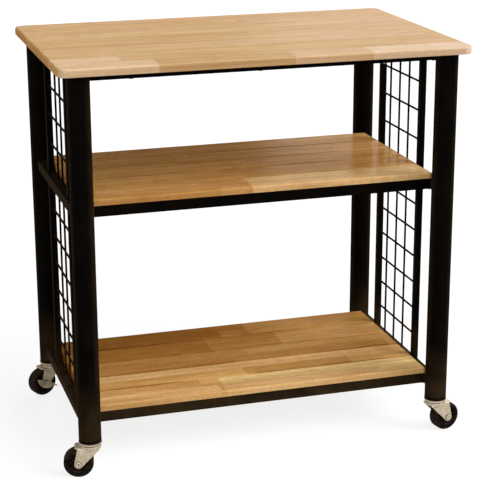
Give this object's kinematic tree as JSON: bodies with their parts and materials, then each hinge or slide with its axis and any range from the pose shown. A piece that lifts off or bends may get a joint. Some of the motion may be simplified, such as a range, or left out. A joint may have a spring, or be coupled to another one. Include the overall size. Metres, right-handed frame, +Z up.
{
  "type": "kitchen cart",
  "caption": "Rolling kitchen cart with a hardwood worktop, slatted wood shelves, a black round-tube steel frame, wire grille sides and swivel casters.",
  "frame": {"origin": "on the floor under the middle of the worktop", "axes": "+X to the right of a person at the long front side, +Y away from them, +Z up"},
  "size_m": [0.792, 0.49, 0.77],
  "materials": {
    "hardwood": "edge-glued pale hardwood staves under a satin clear coat",
    "powder_coat": "satin black powder coat on welded steel tube and wire",
    "zinc_plate": "zinc-plated pressed steel with a warm satin sheen",
    "wheel_plastic": "moulded black polypropylene, worn satin on the tread",
    "socket_plastic": "moulded black plastic"
  },
  "bodies": {
    "frame": {"front_left_leg": "powder_coat", "front_left_stem": "zinc_plate", "front_right_leg": "powder_coat", "front_right_stem": "zinc_plate", "leg_sockets": "socket_plastic", "lower_front_rail": "powder_coat", "lower_left_bearer": "powder_coat", "lower_left_mesh": "powder_coat", "lower_left_rail": "powder_coat", "lower_left_uprights": "powder_coat", "lower_rear_rail": "powder_coat", "lower_right_bearer": "powder_coat", "lower_right_mesh": "powder_coat", "lower_right_rail": "powder_coat", "lower_right_uprights": "powder_coat", "lower_slat_1": "hardwood", "lower_slat_2": "hardwood", "lower_slat_3": "hardwood", "lower_slat_4": "hardwood", "lower_slat_5": "hardwood", "middle_front_rail": "powder_coat", "middle_left_bearer": "powder_coat", "middle_left_rail": "powder_coat", "middle_rear_rail": "powder_coat", "middle_right_bearer": "powder_coat", "middle_right_rail": "powder_coat", "middle_slat_1": "hardwood", "middle_slat_2": "hardwood", "middle_slat_3": "hardwood", "middle_slat_4": "hardwood", "middle_slat_5": "hardwood", "rear_left_leg": "powder_coat", "rear_left_stem": "zinc_plate", "rear_right_leg": "powder_coat", "rear_right_stem": "zinc_plate", "slat_screws": "zinc_plate", "top_front_rail": "powder_coat", "top_left_rail": "powder_coat", "top_rear_rail": "powder_coat", "top_right_rail": "powder_coat", "upper_left_mesh": "powder_coat", "upper_left_uprights": "powder_coat", "upper_right_mesh": "powder_coat", "upper_right_uprights": "powder_coat", "worktop": "hardwood", "worktop_screws": "zinc_plate"},
    "front_left_swivel": {"front_left_fork": "zinc_plate", "front_left_axle": "zinc_plate"},
    "front_left_roller": {"front_left_wheel": "wheel_plastic"},
    "front_right_swivel": {"front_right_fork": "zinc_plate", "front_right_axle": "zinc_plate"},
    "front_right_roller": {"front_right_wheel": "wheel_plastic"},
    "rear_left_swivel": {"rear_left_fork": "zinc_plate", "rear_left_axle": "zinc_plate"},
    "rear_left_roller": {"rear_left_wheel": "wheel_plastic"},
    "rear_left_pedal": {"rear_left_brake": "zinc_plate"},
    "rear_right_swivel": {"rear_right_fork": "zinc_plate", "rear_right_axle": "zinc_plate"},
    "rear_right_roller": {"rear_right_wheel": "wheel_plastic"},
    "rear_right_pedal": {"rear_right_brake": "zinc_plate"}
  },
  "joints": [
    {"name": "front_left_swivel_turn", "type": "hinge", "parent": "frame", "child": "front_left_swivel", "pos_m": [-0.345, -0.211, 0.06], "axis": [0, 0, 1], "continuous": true},
    {"name": "front_left_wheel_roll", "type": "hinge", "parent": "front_left_swivel", "child": "front_left_roller", "pos_m": [-0.36701, -0.20632, 0.028], "axis": [-0.2079, -0.9781, 0], "continuous": true},
    {"name": "front_right_swivel_turn", "type": "hinge", "parent": "frame", "child": "front_right_swivel", "pos_m": [0.345, -0.211, 0.06], "axis": [0, 0, 1], "continuous": true},
    {"name": "front_right_wheel_roll", "type": "hinge", "parent": "front_right_swivel", "child": "front_right_roller", "pos_m": [0.36701, -0.20632, 0.028], "axis": [-0.2079, 0.9781, 0], "continuous": true},
    {"name": "rear_left_swivel_turn", "type": "hinge", "parent": "frame", "child": "rear_left_swivel", "pos_m": [-0.345, 0.211, 0.06], "axis": [0, 0, 1], "continuous": true},
    {"name": "rear_left_wheel_roll", "type": "hinge", "parent": "rear_left_swivel", "child": "rear_left_roller", "pos_m": [-0.36586, 0.20257, 0.028], "axis": [0.3746, -0.9272, 0], "continuous": true},
    {"name": "rear_left_brake_tip", "type": "hinge", "parent": "rear_left_swivel", "child": "rear_left_pedal", "pos_m": [-0.36586, 0.20257, 0.028], "axis": [0.3746, -0.9272, 0], "range_deg": [0, 50]},
    {"name": "rear_right_swivel_turn", "type": "hinge", "parent": "frame", "child": "rear_right_swivel", "pos_m": [0.345, 0.211, 0.06], "axis": [0, 0, 1], "continuous": true},
    {"name": "rear_right_wheel_roll", "type": "hinge", "parent": "rear_right_swivel", "child": "rear_right_roller", "pos_m": [0.36586, 0.20257, 0.028], "axis": [0.3746, 0.9272, 0], "continuous": true},
    {"name": "rear_right_brake_tip", "type": "hinge", "parent": "rear_right_swivel", "child": "rear_right_pedal", "pos_m": [0.36586, 0.20257, 0.028], "axis": [0.3746, 0.9272, 0], "range_deg": [0, 50]}
  ]
}
